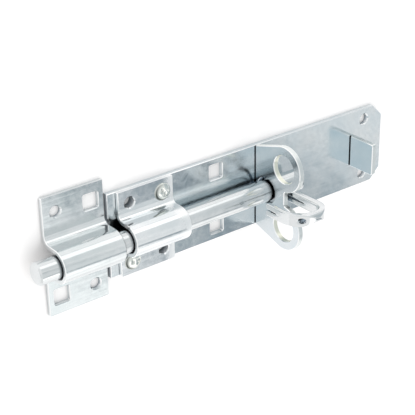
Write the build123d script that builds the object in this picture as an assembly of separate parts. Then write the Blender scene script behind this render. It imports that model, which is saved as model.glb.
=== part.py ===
from build123d import *
import os
from math import hypot

# Padbolt for a gate or shed door, with its keep. Millimetres.
# X runs along the bolt: 0 at the shooting end of the back plate, plus towards the stop lug.
# Y runs across the plate, 0 on its centre line. Z rises from the door face, 0 at the plate's back.

# Back plate: a steel strip that carries everything but the keep
plate_length = 206.0
plate_width = 51.0
plate_thickness = 3.0
plate_corner = 7.5
edge_break = 0.4

# Coach-bolt and screw holes
square_hole = 9.5
square_hole_corner = 1.0
plate_square_x = 74.0
plate_square_y = 17.2
screw_hole_diameter = 6.2
countersink_diameter = 7.6
countersink_depth = 0.7
end_screw_inset = 15.2
end_screw_y = 18.2

# Bolt bar: a round bar that slides and carries the hasp on a turned neck
bolt_diameter = 13.0
bolt_lift = 3.2
bolt_chamfer = 1.0
bolt_travel = 51.5
bolt_overhang = 12.5
neck_depth = 1.5
neck_side_play = 0.15
neck_clearance = 0.08

# Guide: folded strip with an arch, riveted to the plate
guide_start = 5.4
guide_length = 36.6
guide_thickness = 2.5
guide_clearance = 0.6
guide_bend = 3.2
guide_hole_x = 10.8
guide_hole_y = 17.8

# Guide rivets: domed head, plain shank, countersunk tail flush with the plate's back
rivet_head_diameter = 10.4
rivet_head_height = 2.1
rivet_head_steps = ((1.0, 0.35), (0.72, 1.0))
rivet_shank_diameter = 5.0
rivet_tail_diameter = 7.4
rivet_tail_depth = 1.2
rivet_clearance = 0.05

# Keep: a wider folded strip with an arch, fixed to the door frame
keep_gap = 1.5
keep_length = 38.0
keep_width = 70.0
keep_thickness = 2.5
keep_clearance = 0.7
keep_bend = 4.0
keep_hole_x = 10.8
keep_square_y = 24.6
keep_screw_y = 25.4

# Staple plate: an upright with two padlock eyes and a hole for the bolt
staple_x = 103.0
staple_thickness = 3.0
staple_foot_inset = 0.3
staple_hole_clearance = 1.3
lobe_radius = 13.8
eye_radius = 8.5
eye_rise = 15.3
waist_rise = 15.7
notch_clearance = 0.9
notch_fillet = 1.5

# Groove at the foot of each upright, where its sheared edge is rolled
foot_groove_height = 0.7
foot_groove_depth = 1.0

# Tenons that hold the two uprights in slots of the back plate
tenon_width = 9.0
staple_tenon_y = 15.0
tenon_clearance = 0.05

# Stop lug: a square upright that the bolt's tail meets when it is drawn
lug_inset = 26.5
lug_thickness = 3.0
lug_width = 20.0
lug_height = 19.5
lug_corner = 1.2

# Hasp: a strip folded double at its outer end, sprung round the bolt's neck
leaf_thickness = 3.0
leaf_gap = 1.4
fold_eye_diameter = 3.2
neck_arm_width = 4.4
free_arm_width = 3.4
slot_width = 17.6
slot_neck_corner = 5.0
slot_free_corner = 11.5
staple_side_gap = 1.9
arm_clearance = 3.2
lobe_clearance = 4.5
hasp_end_width = 4.0
bow_neck_corner = 10.0
bow_free_corner = 15.0
leaf_root_fillet = 2.5
slot_edge_break = 0.8

# Heights and radii that follow from the sizes above
bolt_radius = bolt_diameter / 2
axis_height = plate_thickness + bolt_lift + bolt_radius
neck_radius = bolt_radius - neck_depth
guide_inner = bolt_radius + guide_clearance
keep_inner = bolt_radius + keep_clearance
guide_centre = guide_start + guide_length / 2
keep_centre = -keep_gap - keep_length / 2
hasp_half = leaf_thickness + leaf_gap / 2
notch_half = hasp_half + notch_clearance
eye_offset = notch_half + lobe_radius
lobe_reach = hypot(eye_offset, eye_rise) + lobe_radius

# Places along the bolt that follow from the sizes above
end_screw_x = plate_length - end_screw_inset
lug_x = plate_length - lug_inset
bolt_tip = -keep_gap - keep_length - bolt_overhang
bolt_tail = lug_x - bolt_travel
right_arm = staple_x + staple_thickness + staple_side_gap
left_arm = right_arm - slot_width - free_arm_width
hasp_width = free_arm_width + slot_width + neck_arm_width

# Distances of the hasp's edges from the bolt's axis
wrap_inner = neck_radius + neck_clearance
wrap_outer = wrap_inner + leaf_thickness
arm_end = waist_rise + arm_clearance
slot_end = lobe_reach + lobe_clearance
hasp_reach = slot_end + hasp_end_width

bolt_axis = Axis((0, 0, axis_height), (1, 0, 0))


def hole(x, y, radius, height):
    """A round cutter through everything up to a height."""
    cutter = Cylinder(radius, height + 2, align=(Align.CENTER, Align.CENTER, Align.MIN))
    return Pos(x, y, -1) * cutter


def screw_hole(x, y, face):
    """A round hole with a countersink in the face at a given height."""
    radius = screw_hole_diameter / 2
    mouth = Cone(radius, countersink_diameter / 2, countersink_depth)
    return hole(x, y, radius, face) + Pos(x, y, face - countersink_depth / 2) * mouth


def square_cutter(x, y, face):
    """A square cutter for the neck of a coach bolt, which also breaks the rim in the face."""
    outline = RectangleRounded(square_hole, square_hole, square_hole_corner)
    shank = extrude(Pos(x, y, -1) * outline, amount=face + 1)
    rim_side = square_hole + 2 * edge_break
    rim = RectangleRounded(rim_side, rim_side, square_hole_corner + edge_break)
    mouth = extrude(Pos(x, y, face) * rim, amount=-edge_break, taper=45)
    return shank + mouth


def foot_groove(x, width):
    """The cutter for the groove along an upright's foot, on the side of the shooting end."""
    height = plate_thickness + foot_groove_height / 2
    return Pos(x, 0, height) * Box(2 * foot_groove_depth, width, foot_groove_height)


def tenon(x, y, thickness, play):
    """A tenon of an upright, or with play its slot in the back plate."""
    return Pos(x + thickness / 2, y, plate_thickness / 2) * Box(
        thickness + 2 * play, tenon_width + 2 * play, plate_thickness
    )


def hat_strip(start, length, base, width, thickness, arch_radius, bend):
    """A strip folded to a hat section: two flanges and an arch over the bolt."""
    outer = arch_radius + thickness
    rise = axis_height - base
    flange_top = base + thickness
    centre = Pos(0, axis_height)
    flanges = Pos(0, base + thickness / 2) * Rectangle(width, thickness)
    outside = centre * Circle(outer) + Pos(0, base + rise / 2) * Rectangle(2 * outer, rise)
    inside = centre * Circle(arch_radius) + Pos(0, base + rise / 2) * Rectangle(2 * arch_radius, rise)
    section = flanges + outside - inside
    inner_corners = [v for v in section.vertices() if abs(v.Y - base) < 0.01 and abs(v.X) < outer]
    section = fillet(inner_corners, bend + thickness)
    outer_corners = [v for v in section.vertices() if abs(v.Y - flange_top) < 0.01 and abs(v.X) < outer + 0.01]
    section = fillet(outer_corners, bend)
    strip = extrude(Plane.YZ.offset(start) * section, amount=length)
    ends = strip.faces().filter_by(Axis.X)
    return chamfer(ends.edges(), edge_break)


def make_back_plate():
    """The strip with chamfered tail corners, its holes and the slots for the uprights."""
    blank = Pos(plate_length / 2, 0) * Rectangle(plate_length, plate_width)
    blank = chamfer(blank.vertices().group_by(Axis.X)[-1], plate_corner)
    plate = extrude(blank, amount=plate_thickness)
    plate = chamfer(plate.faces().sort_by(Axis.Z)[-1].edges(), edge_break)
    for side in (1, -1):
        plate -= square_cutter(plate_square_x, side * plate_square_y, plate_thickness)
        plate -= screw_hole(end_screw_x, side * end_screw_y, plate_thickness)
        plate -= tenon(staple_x, side * staple_tenon_y, staple_thickness, tenon_clearance)
        screw_x = guide_centre - side * guide_hole_x
        plate -= hole(screw_x, side * guide_hole_y, screw_hole_diameter / 2, plate_thickness)
        rivet_x = guide_centre + side * guide_hole_x
        plate -= rivet_tail_socket(rivet_x, side * guide_hole_y)
    return plate - tenon(lug_x, 0, lug_thickness, tenon_clearance)


def rivet_tail_socket(x, y):
    """The hole for a rivet's shank with the countersink that its tail fills."""
    shank = rivet_shank_diameter / 2 + rivet_clearance
    mouth = rivet_tail_diameter / 2 + rivet_clearance
    sink = Cone(mouth, shank, rivet_tail_depth)
    return hole(x, y, shank, plate_thickness) + Pos(x, y, rivet_tail_depth / 2) * sink


def make_guide():
    """The arch that the bolt slides in, with two rivet holes and two screw holes."""
    guide = hat_strip(
        guide_start, guide_length, plate_thickness, plate_width, guide_thickness, guide_inner, guide_bend
    )
    flange_top = plate_thickness + guide_thickness
    shank = rivet_shank_diameter / 2 + rivet_clearance
    for side in (1, -1):
        guide -= screw_hole(guide_centre - side * guide_hole_x, side * guide_hole_y, flange_top)
        guide -= hole(guide_centre + side * guide_hole_x, side * guide_hole_y, shank, flange_top)
    return guide


def make_guide_rivet(side):
    """One rivet: a low crown with a broken rim on the flange, a shank, and a tail flush with the back."""
    seat = plate_thickness + guide_thickness
    crown = seat + rivet_head_height
    head = rivet_head_diameter / 2
    shank = rivet_shank_diameter / 2
    tail = rivet_tail_diameter / 2
    crown_steps = [(head * across, seat + rivet_head_height * up) for across, up in rivet_head_steps]
    profile = Polyline(
        (0, crown), (0, 0), (tail, 0), (shank, rivet_tail_depth), (shank, seat), (head, seat),
        *crown_steps, close=True,
    )
    rivet = revolve(make_face(Plane.XZ * profile), Axis.Z)
    return Pos(guide_centre + side * guide_hole_x, side * guide_hole_y, 0) * rivet


def make_keep():
    """The wider arch on the door frame, with two coach-bolt holes and two screw holes."""
    keep = hat_strip(
        keep_centre - keep_length / 2, keep_length, 0, keep_width, keep_thickness, keep_inner, keep_bend
    )
    for side in (1, -1):
        keep -= square_cutter(keep_centre + side * keep_hole_x, side * keep_square_y, keep_thickness)
        keep -= screw_hole(keep_centre - side * keep_hole_x, side * keep_screw_y, keep_thickness)
    return keep


def make_staple_plate():
    """The upright: a foot as wide as the plate, a waist, and two round lobes with eyes.

    Blanking rolls the rims of its face towards the shooting end.
    """
    eye_height = axis_height + eye_rise
    waist_height = axis_height + waist_rise
    foot = plate_width / 2 - staple_foot_inset
    lobes = [Pos(side * eye_offset, eye_height) * Circle(lobe_radius) for side in (1, -1)]
    edges = [Line((-foot, plate_thickness), (foot, plate_thickness))]
    edges += [edge for lobe in lobes for edge in lobe.edges()]
    below_waist = Pos(0, waist_height / 2) * Rectangle(4 * foot, waist_height)
    outline = make_hull(edges) & below_waist
    outline += lobes
    corners = [v for v in outline.vertices() if abs(v.X) < eye_offset and v.Y > eye_height - 1]
    outline = fillet(corners, notch_fillet)
    outline -= Pos(0, axis_height) * Circle(bolt_radius + staple_hole_clearance)
    for side in (1, -1):
        outline -= Pos(side * eye_offset, eye_height) * Circle(eye_radius)
    staple = extrude(Plane.YZ.offset(staple_x) * outline, amount=staple_thickness)
    rims = [e for e in staple.faces().sort_by(Axis.X)[0].edges() if e.center().Z > 2 * plate_thickness]
    staple = chamfer(rims, edge_break) - foot_groove(staple_x, plate_width)
    for side in (1, -1):
        staple += tenon(staple_x, side * staple_tenon_y, staple_thickness, 0)
    return staple


def make_stop_lug():
    """The square upright at the tail end, on one tenon, blanked from the same side."""
    face = RectangleRounded(lug_width, lug_height, lug_corner)
    square_foot = Pos(0, -lug_height / 4) * Rectangle(lug_width, lug_height / 2)
    outline = Pos(0, plate_thickness + lug_height / 2) * (face + square_foot)
    lug = extrude(Plane.YZ.offset(lug_x) * outline, amount=lug_thickness)
    rims = [e for e in lug.faces().sort_by(Axis.X)[0].edges() if e.center().Z > 2 * plate_thickness]
    lug = chamfer(rims, edge_break) - foot_groove(lug_x, plate_width)
    return lug + tenon(lug_x, 0, lug_thickness, 0)


def make_bolt_bar():
    """The round bar, turned down to a neck where the hasp grips it."""
    neck_start = right_arm - neck_side_play
    neck_end = right_arm + neck_arm_width + neck_side_play
    stations = [
        (bolt_tip, 0),
        (bolt_tip, bolt_radius - bolt_chamfer),
        (bolt_tip + bolt_chamfer, bolt_radius),
        (neck_start, bolt_radius),
        (neck_start, neck_radius),
        (neck_end, neck_radius),
        (neck_end, bolt_radius),
        (bolt_tail - bolt_chamfer, bolt_radius),
        (bolt_tail, bolt_radius - bolt_chamfer),
        (bolt_tail, 0),
    ]
    half = make_face(Polyline(*[(x, axis_height + r) for x, r in stations], close=True))
    return revolve(Plane.XZ * half, bolt_axis)


def make_hasp():
    """The doubled strip: its folded section along the bolt, cut to its outline from the side."""
    fold_height = hasp_reach - hasp_half
    leaves = Pos(0, fold_height / 2) * Rectangle(2 * hasp_half, fold_height)
    leaves += Pos(0, fold_height) * Circle(hasp_half)
    section = leaves + Circle(wrap_outer)
    roots = [v for v in section.vertices() if abs(abs(v.X) - hasp_half) < 0.01 and v.Y < fold_height / 2]
    section = fillet(roots, leaf_root_fillet)
    slit_length = (arm_end + slot_end) / 2
    slit = Polyline(
        (-leaf_gap / 2, 0), (leaf_gap / 2, 0), (leaf_gap / 2, arm_end), (0, slit_length),
        (-leaf_gap / 2, arm_end), close=True,
    )
    section -= make_face(slit)
    section -= Pos(0, fold_height) * Circle(fold_eye_diameter / 2)
    section -= Circle(wrap_inner)
    strip = extrude(Plane.YZ.offset(left_arm) * (Pos(0, axis_height) * section), amount=hasp_width)

    bow = Pos(hasp_width / 2, (arm_end + hasp_reach) / 2) * Rectangle(hasp_width, hasp_reach - arm_end)
    bow = round_top(bow, bow_free_corner, bow_neck_corner)
    slot = Pos(free_arm_width + slot_width / 2, slot_end / 2) * Rectangle(slot_width, slot_end)
    slot = round_top(slot, slot_free_corner, slot_neck_corner)
    shank = Pos(hasp_width - neck_arm_width / 2, (arm_end - wrap_outer) / 2) * Rectangle(
        neck_arm_width, arm_end + wrap_outer
    )
    outline = bow - slot + shank
    plan = Plane.XZ.offset(-2 * wrap_outer) * (Pos(left_arm, axis_height) * outline)
    hasp = strip & extrude(plan, amount=4 * wrap_outer)

    # The slot's edges, which slide over the lobes, are broken.
    boxes = [(edge, edge.bounding_box()) for edge in hasp.edges()]
    on_leaf = [(edge, box) for edge, box in boxes if abs(box.min.Y + box.max.Y) > 2 * hasp_half - 0.01]
    past_free_arm = [(edge, box) for edge, box in on_leaf if box.min.X > left_arm + free_arm_width - 0.01]
    return chamfer([edge for edge, box in past_free_arm if box.max.X < right_arm + 0.01], slot_edge_break)


def round_top(sheet, free_side_radius, neck_side_radius):
    """A rectangle of the hasp's outline with its two top corners rounded."""
    sheet = fillet(sheet.vertices().group_by(Axis.Y)[-1].sort_by(Axis.X)[0], free_side_radius)
    return fillet(sheet.vertices().group_by(Axis.Y)[-1].sort_by(Axis.X)[-1], neck_side_radius)


parts = {
    "back_plate": make_back_plate(),
    "guide": make_guide(),
    "guide_rivet_upper": make_guide_rivet(1),
    "guide_rivet_lower": make_guide_rivet(-1),
    "keep": make_keep(),
    "staple_plate": make_staple_plate(),
    "stop_lug": make_stop_lug(),
    "bolt_bar": make_bolt_bar(),
    "hasp": make_hasp(),
}

os.makedirs("parts", exist_ok=True)
for name, solid in parts.items():
    export_step(solid, f"parts/{name}.step")
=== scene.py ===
import math

import bmesh
import bpy
import numpy as np
from mathutils import Matrix, Vector


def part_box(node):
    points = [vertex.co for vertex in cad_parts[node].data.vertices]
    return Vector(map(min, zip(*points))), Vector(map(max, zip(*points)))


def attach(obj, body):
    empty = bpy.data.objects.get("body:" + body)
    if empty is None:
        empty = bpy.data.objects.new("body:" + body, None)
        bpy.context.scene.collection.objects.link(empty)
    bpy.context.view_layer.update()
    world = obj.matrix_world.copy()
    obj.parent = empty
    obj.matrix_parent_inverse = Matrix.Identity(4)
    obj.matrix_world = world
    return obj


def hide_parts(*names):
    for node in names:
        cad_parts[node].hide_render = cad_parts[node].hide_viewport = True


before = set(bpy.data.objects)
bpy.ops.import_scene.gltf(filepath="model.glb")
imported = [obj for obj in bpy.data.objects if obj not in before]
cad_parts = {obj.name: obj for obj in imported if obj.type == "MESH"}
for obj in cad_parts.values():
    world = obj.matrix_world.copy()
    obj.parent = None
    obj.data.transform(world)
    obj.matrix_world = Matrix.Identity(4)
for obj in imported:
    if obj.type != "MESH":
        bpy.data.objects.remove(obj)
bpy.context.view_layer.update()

scene = bpy.context.scene


# The table: a large sheet of matt white photographic card that the padbolt lies on, back down. It
# glows a little where the camera or a reflection sees it, as overlit card does. The glow drops close
# to the object, so the shadow there is deeper than the lamps alone would make it.

card_half = 4.0
card_drop = 0.00005
card_white = "#F7F4F3"
clear_glow = 0.30
crowded_glow = 0.12
crowding_reach = 0.05


def colour(hex_code):
    """A colour picked as sRGB hex, turned to linear red, green, blue and a full alpha."""
    channels = [int(hex_code[i:i + 2], 16) / 255 for i in (1, 3, 5)]
    linear = [c / 12.92 if c <= 0.04045 else ((c + 0.055) / 1.055) ** 2.4 for c in channels]
    return (*linear, 1.0)


def add(tree, kind, inputs=None, **settings):
    """Adds one node. A value in inputs is set on its socket, and a socket in inputs is linked to it."""
    node = tree.nodes.new(kind)
    for name, value in settings.items():
        setattr(node, name, value)
    for name, value in (inputs or {}).items():
        if isinstance(value, bpy.types.NodeSocket):
            tree.links.new(value, node.inputs[name])
        else:
            node.inputs[name].default_value = value
    return node


def new_material(name):
    """An empty node material and its output node."""
    material = bpy.data.materials.new(name)
    material.use_nodes = True
    material.node_tree.nodes.clear()
    return material, add(material.node_tree, "ShaderNodeOutputMaterial")


card_mesh = bpy.data.meshes.new("white_card")
corner_signs = ((-1, -1), (1, -1), (1, 1), (-1, 1))
card_corners = [(x * card_half, y * card_half, -card_drop) for x, y in corner_signs]
card_mesh.from_pydata(card_corners, [], [(0, 1, 2, 3)])
card = bpy.data.objects.new("white_card", card_mesh)
scene.collection.objects.link(card)

card_material, card_output = new_material("matt_white_card")
tree = card_material.node_tree
paths = add(tree, "ShaderNodeLightPath")
seen = add(tree, "ShaderNodeMath", {
    0: paths.outputs["Is Camera Ray"], 1: paths.outputs["Is Glossy Ray"],
}, operation="ADD")
seen = add(tree, "ShaderNodeMath", {
    0: seen.outputs[0], 1: paths.outputs["Is Transmission Ray"],
}, operation="ADD", use_clamp=True)
openness = add(tree, "ShaderNodeAmbientOcclusion", {"Distance": crowding_reach})
room = add(tree, "ShaderNodeMapRange", {
    "Value": openness.outputs["AO"], "From Min": 0.45, "From Max": 0.85,
    "To Min": crowded_glow, "To Max": clear_glow,
})
lift = add(tree, "ShaderNodeMath", {0: seen.outputs[0], 1: room.outputs[0]}, operation="MULTIPLY")
paper = add(tree, "ShaderNodeBsdfDiffuse", {"Color": colour(card_white)})
glow = add(tree, "ShaderNodeEmission", {"Color": colour("#FFFFFF"), "Strength": lift.outputs[0]})
both = add(tree, "ShaderNodeAddShader", {0: paper.outputs[0], 1: glow.outputs[0]})
tree.links.new(both.outputs[0], card_output.inputs["Surface"])
card_mesh.materials.append(card_material)


# The studio: a white tent round the table, hung with cloths that the zinc shows as its light and dark
# stripes. They are fitted to the photograph: a pale roof, two grey bands under a white one, grey past
# the tail end, and past the lower long edge a darker flag with a small dark one before it.

tent_white = "#FFFFFF"
roof_cloth = "#EDF0F1"
band_grey = "#CBD1D4"
tail_cloth = "#BCC6CB"
corner_cloth = "#DADFE1"
flag_grey = "#9DA8AF"
small_flag_grey = "#66727A"

# The ways to look from the table: up, past the long edges that are the upper (+Y) and the lower (-Y)
# one in the photograph, past the tail of the plate, and past the nose of the bolt.
up = (0, 0, 1)
to_upper_edge = (0, 1, 0)
to_lower_edge = (0, -1, 0)
to_tail = (1, 0, 0)
to_nose = (-1, 0, 0)

world = bpy.data.worlds.new("studio")
scene.world = world
world.use_nodes = True
tree = world.node_tree
tree.nodes.clear()
direction = add(tree, "ShaderNodeTexCoord").outputs["Generated"]


def along(axis, start, end):
    """How far a direction has come from start to end along an axis, softly from 0 to 1."""
    reach = add(tree, "ShaderNodeVectorMath", {0: direction, 1: axis}, operation="DOT_PRODUCT")
    limits = {"Value": reach.outputs["Value"], "From Min": start, "From Max": end}
    return add(tree, "ShaderNodeMapRange", limits, interpolation_type="SMOOTHSTEP").outputs[0]


def hang(sky, hex_code, *shares):
    """Hangs a cloth in the sky, where all its shares overlap."""
    share = shares[0]
    for other in shares[1:]:
        share = add(tree, "ShaderNodeMath", {0: share, 1: other}, operation="MULTIPLY").outputs[0]
    sides = {"Factor": share, "A": sky, "B": colour(hex_code)}
    return add(tree, "ShaderNodeMix", sides, data_type="RGBA").outputs["Result"]


def band(normal, half_width):
    """The two shares of a straight band of cloth, which hangs in the plane that has this normal."""
    other_way = [-n for n in normal]
    return along(normal, -half_width, -half_width / 4), along(other_way, -half_width, -half_width / 4)


overhead = along(up, start=0.38, end=0.55)
over_the_bolt = along(to_upper_edge, start=-0.40, end=-0.25)
sky = hang(colour(tent_white), roof_cloth, overhead, over_the_bolt)

lower_part = along(to_lower_edge, start=0.34, end=0.42)
short_band = band(normal=(0.844, -0.096, -0.527), half_width=0.060)
sky = hang(sky, band_grey, overhead, lower_part, *short_band)
long_band = band(normal=(0.851, 0.212, -0.479), half_width=0.038)
sky = hang(sky, band_grey, overhead, *long_band)
white_band = band(normal=(0.848, 0.129, -0.515), half_width=0.045)
sky = hang(sky, tent_white, overhead, *white_band)

# From here on a share is named for the side of its cloth where it fades in. The foot is the lowest.
tail_cloth_foot = along(up, start=0.16, end=0.32)
tail_cloth_nose_side = along(to_tail, start=0.54, end=0.58)
sky = hang(sky, tail_cloth, tail_cloth_foot, over_the_bolt, tail_cloth_nose_side)

# A paler cloth hangs before the upper corner of the tail cloth.
corner_foot = along(up, start=0.24, end=0.34)
corner_nose_side = along(to_tail, start=0.54, end=0.57)
corner_lower_side = along(to_upper_edge, start=0.45, end=0.55)
sky = hang(sky, corner_cloth, corner_foot, corner_nose_side, corner_lower_side)

flag_foot = along(up, start=0.20, end=0.32)
flag_nose_side = along((1, 0.6, 0), start=0.15, end=0.23)
flag_upper_side = along((-0.447, -0.894, 0), start=0.080, end=0.110)
sky = hang(sky, flag_grey, flag_foot, flag_nose_side, flag_upper_side)

small_flag_sides = (
    along(to_tail, start=0.520, end=0.540),
    along(to_nose, start=-0.590, end=-0.570),
    along(to_lower_edge, start=0.38, end=0.41),
    along(to_upper_edge, start=-0.46, end=-0.43),
)
sky = hang(sky, small_flag_grey, overhead, *small_flag_sides)

backdrop = add(tree, "ShaderNodeBackground", {"Color": sky, "Strength": 1.0})
add(tree, "ShaderNodeOutputWorld", {"Surface": backdrop.outputs[0]})

# Three softboxes, each with the way to it, its width in degrees and its strength: the key high over
# the lower long edge of the plate, one low beyond that edge, and one low beyond the upper edge.
softbox_white = "#FFFDF9"
softboxes = {
    "key_softbox": ((0.20, -0.62, 0.76), 34, 0.14),
    "lower_edge_softbox": ((0.30, -0.85, 0.42), 40, 0.10),
    "upper_edge_softbox": ((0.44, 0.84, 0.30), 24, 0.06),
}
for name, (aim, width, strength) in softboxes.items():
    lamp = bpy.data.lights.new(name, "SUN")
    lamp.energy = strength
    lamp.angle = math.radians(width)
    lamp.color = colour(softbox_white)[:3]
    lamp_object = bpy.data.objects.new(name, lamp)
    lamp_object.rotation_mode = "QUATERNION"
    lamp_object.rotation_quaternion = Vector(aim).to_track_quat("Z", "Y")
    scene.collection.objects.link(lamp_object)


# The camera: a long lens above the shooting end, turned so that the bolt climbs to the right.
# Its place and turn are fitted to the photograph.

camera_place = Vector((-0.31301, 0.30710, 0.49846))
camera_right = Vector((0.78784, -0.01693, 0.61564))
camera_up = Vector((0.28607, 0.89530, -0.34147))
camera_back = camera_right.cross(camera_up)
sensor_mm = 36.0
lens_mm = 105.87
nearest_seen = 0.01

camera_data = bpy.data.cameras.new("camera")
camera_data.sensor_width = sensor_mm
camera_data.lens = lens_mm
camera_data.clip_start = nearest_seen
camera = bpy.data.objects.new("camera", camera_data)
camera.rotation_mode = "QUATERNION"
camera.rotation_quaternion = Matrix((camera_right, camera_up, camera_back)).transposed().to_quaternion()
camera.location = camera_place
scene.collection.objects.link(camera)
scene.camera = camera


# The back plate: mild steel strip, blanked and pierced, then zinc electroplated and clear passivated.
# That gives a cool blue-grey mirror, clouded, with a faint rolling grain along the strip, and a painted
# highlight as light lines on the broken edges of its outline and its holes.

recess_shade_grey = "#94A8B9"
hole_shade_grey = "#3C464E"
painted_highlight_white = "#FAFBFB"
recess_reach = 0.007
recess_fade = 0.002

# Real specks and rolling grain are too fine to show here, so they are drawn this coarse.
speck_mm = 2.8
grain_mm = 1.1
swell_mm = 9.0
grain_stretch = (0.03, 1.0, 1.0)


def zinc_plate(name, tone, cloud_tone, roughness, cloud_mm=22.0, streak_mm=4.0, streak_depth=0.0,
               broken="X", own_patch=None, recess_shade_tone=recess_shade_grey, closed=0.1, open_air=0.5,
               recess_above=None):
    """Bright zinc plate: clouds of two close tones, a drifting roughness, streaks and grain along X.

    A face that slants about 45 degrees to an axis named in broken is a broken edge, and gets a painted
    highlight.
    own_patch is a function of the piece's own, which gives a patch's share, tone and added roughness.
    What ambient occlusion finds closed in gets the recess tone as painted shade, from open_air down to
    closed, and a deep wall that doesn't face up gets a darker painted shade still. Where recess_above
    is a height, the recess tone fades out below it.
    """
    material, output = new_material(name)
    tree = material.node_tree
    own_frame = add(tree, "ShaderNodeTexCoord")
    place = own_frame.outputs["Object"]
    stretched = add(tree, "ShaderNodeMapping", {"Vector": place, "Scale": grain_stretch}).outputs[0]
    clouds = add(tree, "ShaderNodeTexNoise", {
        "Vector": place, "Scale": 1000 / cloud_mm, "Detail": 4.0, "Roughness": 0.62,
    })
    specks = add(tree, "ShaderNodeTexNoise", {
        "Vector": place, "Scale": 1000 / speck_mm, "Detail": 3.0, "Roughness": 0.7,
    })
    grain = add(tree, "ShaderNodeTexNoise", {
        "Vector": stretched, "Scale": 1000 / grain_mm, "Detail": 3.0, "Roughness": 0.6,
    })
    streaks = add(tree, "ShaderNodeTexNoise", {
        "Vector": stretched, "Scale": 1000 / streak_mm, "Detail": 2.0,
    })
    waves = add(tree, "ShaderNodeTexNoise", {"Vector": place, "Scale": 1000 / swell_mm, "Detail": 1.0})

    cloud_limits = {"Value": clouds.outputs[0], "From Min": 0.36, "From Max": 0.64}
    cloud_share = add(tree, "ShaderNodeMapRange", cloud_limits)
    tones = add(tree, "ShaderNodeMix", {
        "Factor": cloud_share.outputs[0], "A": colour(tone), "B": colour(cloud_tone),
    }, data_type="RGBA")
    facing = add(tree, "ShaderNodeSeparateXYZ", {0: own_frame.outputs["Normal"]})
    # Painted highlight: a face slanting like a broken edge gets the pale highlight tone.
    for axis in broken:
        part = facing.outputs[axis]
        squared = add(tree, "ShaderNodeMath", {0: part, 1: part}, operation="MULTIPLY")
        from_half = add(tree, "ShaderNodeMath", {0: squared.outputs[0], 1: 0.5}, operation="SUBTRACT")
        off_slant = add(tree, "ShaderNodeMath", {0: from_half.outputs[0]}, operation="ABSOLUTE")
        slant = add(tree, "ShaderNodeMapRange", {
            "Value": off_slant.outputs[0], "From Min": 0.3, "From Max": 0.15,
        })
        tones = add(tree, "ShaderNodeMix", {
            "Factor": slant.outputs[0], "A": tones.outputs["Result"], "B": colour(painted_highlight_white),
        }, data_type="RGBA")
    if own_patch:
        patch_share, patch_tone, patch_roughness = own_patch(tree, own_frame)
        tones = add(tree, "ShaderNodeMix", {
            "Factor": patch_share, "A": tones.outputs["Result"], "B": patch_tone,
        }, data_type="RGBA")

    # Painted shade: places that ambient occlusion finds closed in are darkened, and hole walls more so.
    openness = add(tree, "ShaderNodeAmbientOcclusion", {"Distance": recess_reach}).outputs["AO"]
    unshaded_share = add(tree, "ShaderNodeMapRange", {
        "Value": openness, "From Min": closed, "From Max": open_air,
    })
    if recess_above:
        height = add(tree, "ShaderNodeSeparateXYZ", {0: place}).outputs["Z"]
        under = add(tree, "ShaderNodeMapRange", {
            "Value": height, "From Min": recess_above, "From Max": recess_above - recess_fade,
        })
        unshaded_share = add(tree, "ShaderNodeMath", {
            0: unshaded_share.outputs[0], 1: under.outputs[0],
        }, operation="MAXIMUM")
    shallow = add(tree, "ShaderNodeMapRange", {"Value": openness, "From Min": 0.15, "From Max": 0.4})
    upward = add(tree, "ShaderNodeMapRange", {
        "Value": facing.outputs["Z"], "From Min": 0.4, "From Max": 0.6,
    })
    no_hole = add(tree, "ShaderNodeMath", {
        0: shallow.outputs[0], 1: upward.outputs[0],
    }, operation="MAXIMUM")
    recess_shade_tones = add(tree, "ShaderNodeMix", {
        "Factor": no_hole.outputs[0], "A": colour(hole_shade_grey), "B": colour(recess_shade_tone),
    }, data_type="RGBA")
    tones = add(tree, "ShaderNodeMix", {
        "Factor": unshaded_share.outputs[0], "A": recess_shade_tones.outputs["Result"], "B": tones.outputs["Result"],
    }, data_type="RGBA")

    drift = add(tree, "ShaderNodeMapRange", {
        "Value": clouds.outputs[0], "From Min": 0.3, "From Max": 0.7,
        "To Min": roughness * 0.8, "To Max": roughness * 1.25,
    })
    speckle = add(tree, "ShaderNodeMapRange", {
        "Value": specks.outputs[0], "From Min": 0.3, "From Max": 0.7, "To Min": -0.04, "To Max": 0.04,
    })
    finish = add(tree, "ShaderNodeMath", {0: drift.outputs[0], 1: speckle.outputs[0]}, operation="ADD")
    if own_patch:
        finish = add(tree, "ShaderNodeMath", {
            0: patch_share, 1: patch_roughness, 2: finish.outputs[0],
        }, operation="MULTIPLY_ADD")
    swell = add(tree, "ShaderNodeBump", {
        "Height": waves.outputs[0], "Strength": 0.05, "Distance": 0.001,
    })
    draw = add(tree, "ShaderNodeBump", {
        "Height": streaks.outputs[0], "Strength": streak_depth, "Distance": 0.001,
        "Normal": swell.outputs[0],
    })
    relief = add(tree, "ShaderNodeBump", {
        "Height": grain.outputs[0], "Strength": 0.05, "Distance": 0.0002, "Normal": draw.outputs[0],
    })
    metal = add(tree, "ShaderNodeBsdfPrincipled", {
        "Base Color": tones.outputs["Result"], "Metallic": 1.0, "Roughness": finish.outputs[0],
        "Normal": relief.outputs[0],
    })
    tree.links.new(metal.outputs[0], output.inputs["Surface"])
    return material


def dress(node, material):
    """Gives a CAD node one material all over."""
    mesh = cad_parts[node].data
    mesh.materials.clear()
    mesh.materials.append(material)


strip_zinc = zinc_plate("bright_zinc_on_rolled_strip", "#D4DDE1", "#E6EAEB", 0.17, broken="XY")
dress("back_plate", strip_zinc)


# The staple plate: blanked from 3 mm strip, with a padlock eye in each lobe, and its feet peened into
# the plate. It is zinc plated too. Its sheared walls scatter more light than its faces, so they are
# duller, and a painted highlight makes them paler; the walls of the eyes get a painted cream
# reflection.

wall_highlight_white = "#E6EAE9"
eye_wall_reflection_cream = "#EDEEE0"
sheared_roughness = 0.16
eye_middle = (0.1047, 0.0184, 0.0280)
beyond_eye_wall = 0.0096
within_eye_wall = 0.0089


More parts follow.
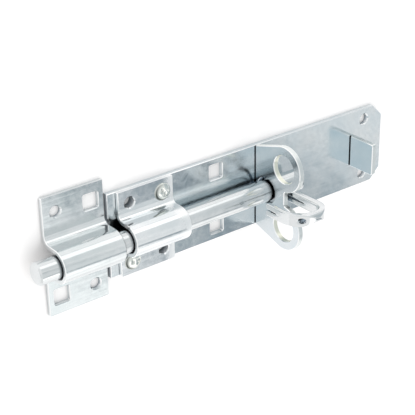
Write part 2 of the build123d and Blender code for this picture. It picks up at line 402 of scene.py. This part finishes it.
def walls_with_painted_light(tree, own_frame):
    """The patch on the walls of a blank that stands across X: a painted highlight, with a painted cream
    reflection near the middle of an eye.
    """
    facing = add(tree, "ShaderNodeSeparateXYZ", {0: own_frame.outputs["Normal"]}).outputs["X"]
    squared = add(tree, "ShaderNodeMath", {0: facing, 1: facing}, operation="MULTIPLY").outputs[0]
    wall = add(tree, "ShaderNodeMapRange", {"Value": squared, "From Min": 0.35, "From Max": 0.15})
    one_side = add(tree, "ShaderNodeVectorMath", {0: own_frame.outputs["Object"]}, operation="ABSOLUTE")
    off_eye = add(tree, "ShaderNodeVectorMath", {
        0: one_side.outputs[0], 1: eye_middle,
    }, operation="DISTANCE")
    in_eye = add(tree, "ShaderNodeMapRange", {
        "Value": off_eye.outputs["Value"], "From Min": beyond_eye_wall, "From Max": within_eye_wall,
    })
    # Painted highlight on the walls, and a painted cream reflection on the walls of the eyes.
    painted_wall_tone = add(tree, "ShaderNodeMix", {
        "Factor": in_eye.outputs[0], "A": colour(wall_highlight_white), "B": colour(eye_wall_reflection_cream),
    }, data_type="RGBA")
    return wall.outputs[0], painted_wall_tone.outputs["Result"], sheared_roughness


staple_zinc = zinc_plate("bright_zinc_on_staple", "#CFD9DE", "#DCE1E4", 0.16, own_patch=walls_with_painted_light)
dress("staple_plate", staple_zinc)


# The stop lug: a piece of 3 mm strip, nearly square, which stands on a peened tenon and stops the
# drawn bolt. It is zinc plated, with the same dull walls and painted highlight on them as the staple
# plate.

lug_zinc = zinc_plate("bright_zinc_on_lug", "#CAD9E0", "#D3DEE3", 0.16, own_patch=walls_with_painted_light)
dress("stop_lug", lug_zinc)


# The bolt bar: bright drawn round bar, zinc plated, which slides through staple plate, guide and keep.
# Drawing leaves fine lines along it. The real bar is looser, and a wide black gap shows at the mouths
# of the arches. Here the gap is narrow, and a painted shadow on the bar's upper side there stands in
# for it.

painted_gap_shadow = "#282C31"
upper_side_height = 0.013

bar_zinc = zinc_plate("bright_zinc_on_drawn_bar", "#D6DADB", "#E0E3E4", 0.13, streak_mm=3.0,
                      streak_depth=0.06, broken="", recess_shade_tone=painted_gap_shadow, closed=0.50,
                      open_air=0.80, recess_above=upper_side_height)
dress("bolt_bar", bar_zinc)


# The hasp: steel strip folded double over a mandrel and pressed into a hook that grips the bar's neck.
# Its edges are all round, as tumbling before plating leaves them, and its zinc is smooth as the bar's.

hasp_voxel = 0.00024
wear_rounds = 14
wear_factor = 0.5
same_corner = 1e-6


def tumbled_copy(node, name, material):
    """A smooth skin over a CAD node: its triangles joined, remeshed evenly and its edges worn round."""
    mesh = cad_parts[node].data.copy()
    mesh.name = name
    joined = bmesh.new()
    joined.from_mesh(mesh)
    bmesh.ops.remove_doubles(joined, verts=joined.verts, dist=same_corner)
    joined.to_mesh(mesh)
    joined.free()
    mesh.materials.clear()
    mesh.materials.append(material)
    copy = bpy.data.objects.new(name, mesh)
    scene.collection.objects.link(copy)
    even = copy.modifiers.new("even_skin", "REMESH")
    even.mode = "VOXEL"
    even.voxel_size = hasp_voxel
    even.use_smooth_shade = True
    worn = copy.modifiers.new("worn_edges", "SMOOTH")
    worn.factor = wear_factor
    worn.iterations = wear_rounds
    return copy


hasp_zinc = zinc_plate("bright_zinc_on_hasp", "#D8DCDD", "#E4E6E7", 0.13, broken="")
hasp = tumbled_copy("hasp", "tumbled_hasp", hasp_zinc)
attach(hasp, "hasp")
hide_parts("hasp")


# The guide: strip steel folded over a former into an arch and zinc plated. The fold leaves draw lines
# along the arch, which break its reflections into streaks. Its end towards the staple plate gets a
# painted highlight and is rougher, to match a bright zone in the photograph.

guide_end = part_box("guide")[1][0]
end_highlight_start = guide_end - 0.0075
end_highlight_full = guide_end - 0.0015
end_patch_roughness = 0.22


def end_highlight_patch(tree, own_frame):
    """The painted highlight patch that grows along X towards the end of the guide."""
    along_x = add(tree, "ShaderNodeSeparateXYZ", {0: own_frame.outputs["Object"]}).outputs["X"]
    share = add(tree, "ShaderNodeMapRange", {
        "Value": along_x, "From Min": end_highlight_start, "From Max": end_highlight_full,
    })
    return share.outputs[0], colour(painted_highlight_white), end_patch_roughness


guide_zinc = zinc_plate("bright_zinc_on_folded_strip", "#E2E7E9", "#F1F3F4", 0.14, streak_depth=0.06,
                        own_patch=end_highlight_patch)
dress("guide", guide_zinc)


# The guide's rivets: soft steel, zinc plated, then closed cold with a hand-held snap. It leaves a low
# crown with a few dents and a crescent pressed in near the rim on one side, and painted shade darkens
# the crescent and, more faintly, the dents.

hollow_shade_grey = "#303A36"
crown_radius = 0.0052
crown_height = 0.0021
crown_rings = 34
innermost_share = 0.004
outermost_share = 0.985
rim_level = 0.16
rim_top = 0.00024
rim_foot = 0.00002
shank_radius = 0.0025
tail_radius = 0.0037
tail_depth = 0.00125
tail_middle = 0.00002
crescent_depth = 0.0007
crescent_share = 0.86
crescent_width = 0.13
crescent_open_side = 0.35
crescent_sharpness = 1.5
dent_count = 7
dent_reach = (0.1, 0.7)
dent_width_mm = (0.7, 1.3)
dent_depth = 0.0002
dent_shade_share = 0.45
rivet_turns = 96


def painted_shade_in_hollows(tree, own_frame):
    """The patch of painted shade in the hollows, as strong as the rivet's attribute named pressed, no
    rougher than the rest.
    """
    pressed = add(tree, "ShaderNodeAttribute", attribute_name="pressed")
    return pressed.outputs["Fac"], colour(hollow_shade_grey), 0.0


rivet_zinc = zinc_plate("dented_zinc_on_rivets_with_painted_shade", "#E9ECE6", "#F8FAF6", 0.14, cloud_mm=2.5, broken="",
                        own_patch=painted_shade_in_hollows)


def peened_rivet(name, middle_x, middle_y, seat, seed):
    """A rivet as one closed surface of revolution about an upright axis, dented on its crown.

    The crown is a low dome, its height falling as the square root of one less the squared share of
    its radius, down to a straight rim. The crescent is a bell curve across the radius near the rim,
    times a raised cosine round the axis, which is nought on its open side. A few more bell curves at
    random places take the dents. Below the crown come the rim, the shank and the tail.
    """
    share = np.linspace(innermost_share, outermost_share, crown_rings)
    dome = rim_level + (1 - rim_level) * np.sqrt(1 - share ** 2)
    crown = np.stack([share * crown_radius, seat + crown_height * dome], axis=1)
    rim = np.array([(crown_radius, rim_top), (crown_radius, rim_foot), (shank_radius, 0.0)]) + (0, seat)
    tail = np.array([(shank_radius, tail_depth), (tail_radius, 0.0), (tail_middle, 0.0)])
    profile = np.concatenate([crown, rim, tail])

    turn = np.arange(rivet_turns) * 2 * np.pi / rivet_turns
    radius, height = profile[:, :1], profile[:, 1:]
    x, y = radius * np.cos(turn), radius * np.sin(turn)
    z = height + 0 * turn
    on_crown = np.arange(len(profile))[:, None] < len(crown)
    one_side = (0.5 - 0.5 * np.cos(turn - crescent_open_side)) ** crescent_sharpness
    off_crescent = (radius / crown_radius - crescent_share) / crescent_width
    crescent = crescent_depth * one_side * np.exp(-off_crescent ** 2)
    dents = 0 * crescent
    random = np.random.default_rng(seed)
    angles = random.uniform(0, 2 * np.pi, dent_count)
    reaches = random.uniform(*dent_reach, dent_count) * crown_radius
    widths = random.uniform(*dent_width_mm, dent_count) / 1000
    for angle, reach, width in zip(angles, reaches, widths):
        dent_x, dent_y = reach * np.cos(angle), reach * np.sin(angle)
        dents = dents + dent_depth * np.exp(-((x - dent_x) ** 2 + (y - dent_y) ** 2) / width ** 2)
    z = z - np.where(on_crown, crescent + dents, 0)
    # Painted shade: the crescent, and the dents more faintly, get the dark hollow tone.
    pressed = np.where(on_crown, crescent + dent_shade_share * dents, 0) / crescent_depth

    points = np.stack([x + middle_x, y + middle_y, z], axis=2).reshape(-1, 3)
    ring, step = np.meshgrid(np.arange(len(profile) - 1), np.arange(rivet_turns), indexing="ij")
    onward = (step + 1) % rivet_turns
    quads = np.stack([
        ring * rivet_turns + step, (ring + 1) * rivet_turns + step,
        (ring + 1) * rivet_turns + onward, ring * rivet_turns + onward,
    ], axis=2).reshape(-1, 4)
    top_cap = tuple(range(rivet_turns))
    tail_cap = tuple(range(len(points) - 1, len(points) - 1 - rivet_turns, -1))
    mesh = bpy.data.meshes.new(name)
    mesh.from_pydata(points.tolist(), [], quads.tolist() + [top_cap, tail_cap])
    mesh.shade_smooth()
    mesh.attributes.new("pressed", "FLOAT", "POINT").data.foreach_set("value", pressed.ravel())
    mesh.materials.append(rivet_zinc)
    rivet = bpy.data.objects.new(name, mesh)
    scene.collection.objects.link(rivet)
    return rivet


for node, seed in (("guide_rivet_upper", 8), ("guide_rivet_lower", 6)):
    low_corner, high_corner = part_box(node)
    middle_x = (low_corner[0] + high_corner[0]) / 2
    middle_y = (low_corner[1] + high_corner[1]) / 2
    rivet = peened_rivet("peened_" + node, middle_x, middle_y, high_corner[2] - crown_height, seed)
    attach(rivet, "plate_assembly")
    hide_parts(node)


# The keep: the wider arch, which is screwed to the door frame. It is strip steel, folded and zinc
# plated as the guide is, and lies beside the plate.

keep_zinc = zinc_plate("bright_zinc_on_keep", "#D9DFE0", "#E4E7E8", 0.15, streak_depth=0.06)
dress("keep", keep_zinc)


scene.view_settings.view_transform = "Standard"
